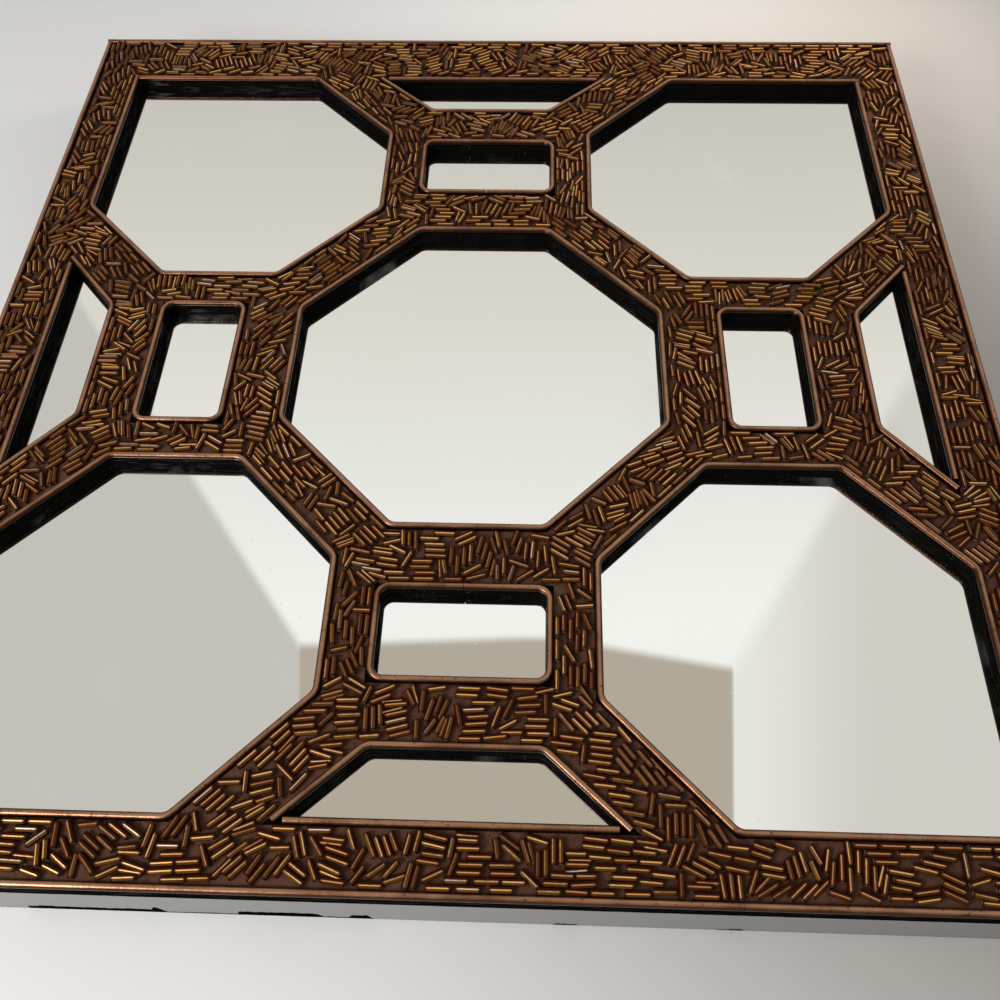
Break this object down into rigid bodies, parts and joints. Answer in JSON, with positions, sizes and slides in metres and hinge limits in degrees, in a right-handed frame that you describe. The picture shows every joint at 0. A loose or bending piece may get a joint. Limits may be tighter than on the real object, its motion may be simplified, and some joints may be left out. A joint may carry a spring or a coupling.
{
  "type": "wall mirror",
  "caption": "Square wall mirror seen through a cut board with an octagon and smaller windows, edged with copper wire, with glass bugle beads on its face and rings behind.",
  "frame": {"origin": "on the floor under the middle of the outline, with the mirror lying on its back", "axes": "+Z comes out of the mirror's face, +Y runs to the top edge as it hangs, +X runs to the right as the face is seen"},
  "size_m": [0.3522, 0.3602, 0.0331],
  "materials": {
    "grey_lacquer": "satin grey lacquer on wood",
    "board_black": "painted black, dull",
    "glue_bed": "brown painted glue, slightly rough",
    "copper_paint": "satin copper paint, worn in places",
    "bead_glass": "glossy silver-lined brown and gold glass",
    "silvered_glass": "clear silvered mirror",
    "hardboard": "plain brown hardboard",
    "pine": "raw planed softwood",
    "zinc_steel": "bright zinc plate"
  },
  "bodies": {
    "mirror": {"side_rail_bottom": "grey_lacquer", "side_rail_top": "grey_lacquer", "side_rail_left": "grey_lacquer", "side_rail_right": "grey_lacquer", "fretwork_board": "board_black", "bead_bed": "glue_bed", "mirror_pane": "silvered_glass", "backing_board": "hardboard", "retaining_strip_bottom": "pine", "retaining_strip_top": "pine", "retaining_strip_left": "pine", "retaining_strip_right": "pine", "hanger_strap_left": "zinc_steel", "hanger_strap_right": "zinc_steel", "hanger_screws": "zinc_steel", "outer_wire_bottom": "copper_paint", "outer_wire_top": "copper_paint", "outer_wire_left": "copper_paint", "outer_wire_right": "copper_paint", "octagon_wire": "copper_paint", "corner_wire_top_right": "copper_paint", "corner_wire_top_left": "copper_paint", "corner_wire_bottom_left": "copper_paint", "corner_wire_bottom_right": "copper_paint", "window_wire_top": "copper_paint", "window_wire_left": "copper_paint", "window_wire_bottom": "copper_paint", "window_wire_right": "copper_paint", "trapezoid_wire_top": "copper_paint", "trapezoid_wire_left": "copper_paint", "trapezoid_wire_bottom": "copper_paint", "trapezoid_wire_right": "copper_paint", "trapezoid_base_wire_top": "copper_paint", "trapezoid_base_wire_left": "copper_paint", "trapezoid_base_wire_bottom": "copper_paint", "trapezoid_base_wire_right": "copper_paint", "beads_top_right_corner": "bead_glass", "beads_top_left_corner": "bead_glass", "beads_bottom_left_corner": "bead_glass", "beads_bottom_right_corner": "bead_glass", "beads_top_edge_right": "bead_glass", "beads_top_edge_left": "bead_glass", "beads_left_edge_top": "bead_glass", "beads_left_edge_bottom": "bead_glass", "beads_bottom_edge_left": "bead_glass", "beads_bottom_edge_right": "bead_glass", "beads_right_edge_bottom": "bead_glass", "beads_right_edge_top": "bead_glass", "beads_top_inner_right": "bead_glass", "beads_top_inner_left": "bead_glass", "beads_left_inner_top": "bead_glass", "beads_left_inner_bottom": "bead_glass", "beads_bottom_inner_left": "bead_glass", "beads_bottom_inner_right": "bead_glass", "beads_right_inner_bottom": "bead_glass", "beads_right_inner_top": "bead_glass"},
    "ring_left": {"hanger_ring_left": "zinc_steel"},
    "ring_right": {"hanger_ring_right": "zinc_steel"}
  },
  "joints": [
    {"name": "ring_left_hinge", "type": "hinge", "parent": "mirror", "child": "ring_left", "pos_m": [-0.1629, 0.096, 0.0076], "axis": [0, 0, -1], "range_deg": [0, 165]},
    {"name": "ring_right_hinge", "type": "hinge", "parent": "mirror", "child": "ring_right", "pos_m": [0.1629, 0.096, 0.0076], "axis": [0, 0, 1], "range_deg": [0, 165]}
  ]
}
